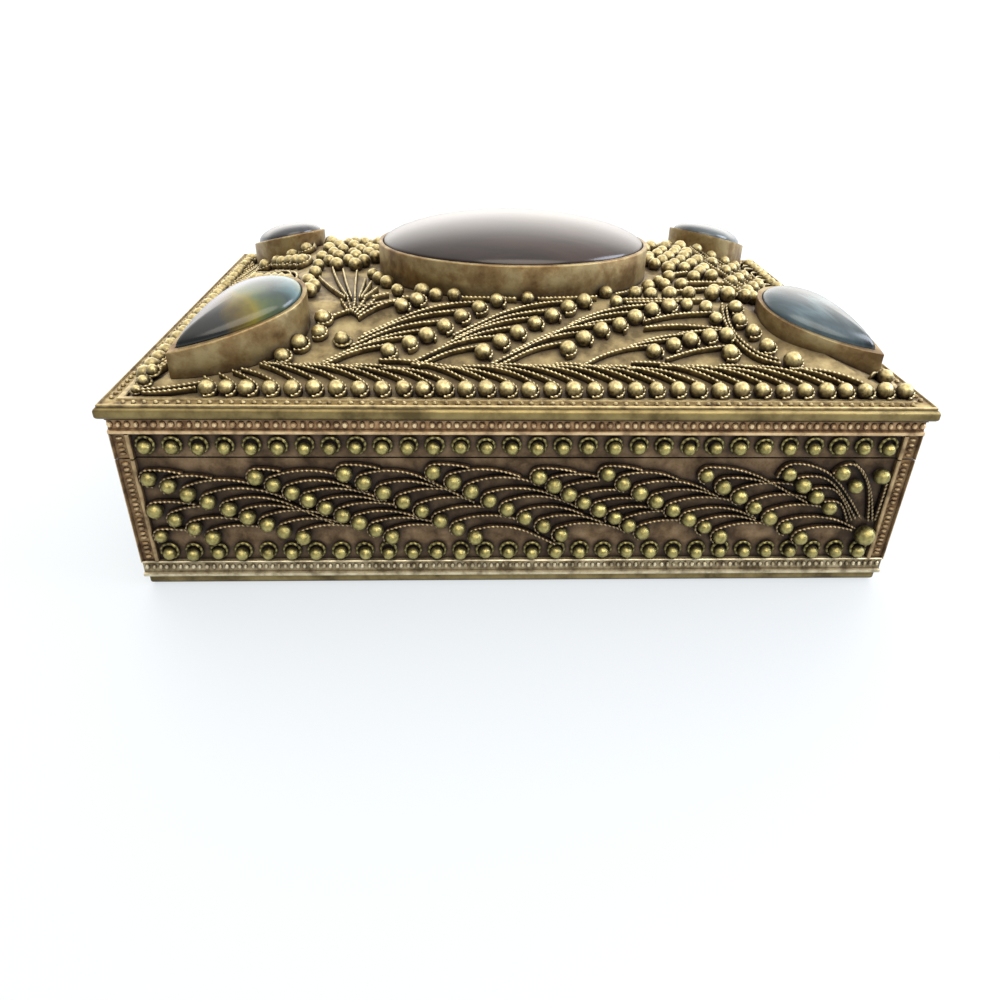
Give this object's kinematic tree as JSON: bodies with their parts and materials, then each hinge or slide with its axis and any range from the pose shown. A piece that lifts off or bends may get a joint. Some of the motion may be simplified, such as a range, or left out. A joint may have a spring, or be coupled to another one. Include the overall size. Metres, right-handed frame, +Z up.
{
  "type": "trinket box",
  "caption": "Hinged trinket box of antique brass filigree, with beaded edges, a low hipped lid and polished stone cabochons in plain bezels.",
  "frame": {"origin": "middle of the box's flat underside, on the surface that it stands on", "axes": "+X along the long side to the right as seen from the front, -Y towards the front, +Z up"},
  "size_m": [0.1046, 0.0764, 0.0428],
  "materials": {
    "sheet_brass": "antique, dulled",
    "strip_brass": "antique, dark in the recesses",
    "plain_brass": "mottled antique",
    "wire_brass": "antique, bright on the crests",
    "bead_brass": "antique, worn bright",
    "hinge_brass": "antique",
    "oval_agate": "polished opaque stone",
    "pear_agate": "polished opaque stone",
    "velvet": "short pile"
  },
  "bodies": {
    "box": {"back_foot_strip": "strip_brass", "back_panel_beads": "bead_brass", "back_panel_wires": "wire_brass", "back_wall": "sheet_brass", "base_plate": "plain_brass", "body_corner_strips": "strip_brass", "floor_lining": "velvet", "foot_rosettes": "bead_brass", "front_foot_strip": "strip_brass", "front_panel_beads": "bead_brass", "front_panel_wires": "wire_brass", "front_wall": "sheet_brass", "hinge_body_leaf": "hinge_brass", "hinge_pin": "hinge_brass", "left_foot_strip": "strip_brass", "left_panel_beads": "bead_brass", "left_panel_wires": "wire_brass", "left_wall": "sheet_brass", "right_foot_strip": "strip_brass", "right_panel_beads": "bead_brass", "right_panel_wires": "wire_brass", "right_wall": "sheet_brass", "wall_lining": "velvet"},
    "lid": {"back_left_bezel": "plain_brass", "back_left_stone": "pear_agate", "back_right_bezel": "plain_brass", "back_right_stone": "pear_agate", "back_skirt": "sheet_brass", "back_skirt_strip": "strip_brass", "back_slope_beads": "bead_brass", "back_slope_wires": "wire_brass", "border_strips": "strip_brass", "crown_beads": "bead_brass", "front_left_bezel": "plain_brass", "front_left_stone": "pear_agate", "front_right_bezel": "plain_brass", "front_right_stone": "pear_agate", "front_skirt": "sheet_brass", "front_skirt_strip": "strip_brass", "front_slope_beads": "bead_brass", "front_slope_wires": "wire_brass", "hinge_lid_leaf": "hinge_brass", "left_skirt": "sheet_brass", "left_skirt_strip": "strip_brass", "left_slope_beads": "bead_brass", "left_slope_wires": "wire_brass", "lid_corner_strips": "strip_brass", "lid_lining": "velvet", "lid_plate": "sheet_brass", "lid_top": "sheet_brass", "oval_bezel": "plain_brass", "oval_stone": "oval_agate", "right_skirt": "sheet_brass", "right_skirt_strip": "strip_brass", "right_slope_beads": "bead_brass", "right_slope_wires": "wire_brass", "skirt_rosettes": "bead_brass"}
  },
  "joints": [
    {"name": "lid_hinge", "type": "hinge", "parent": "box", "child": "lid", "pos_m": [0, 0.03735, 0.0195], "axis": [-1, 0, 0], "range_deg": [0, 100]}
  ]
}
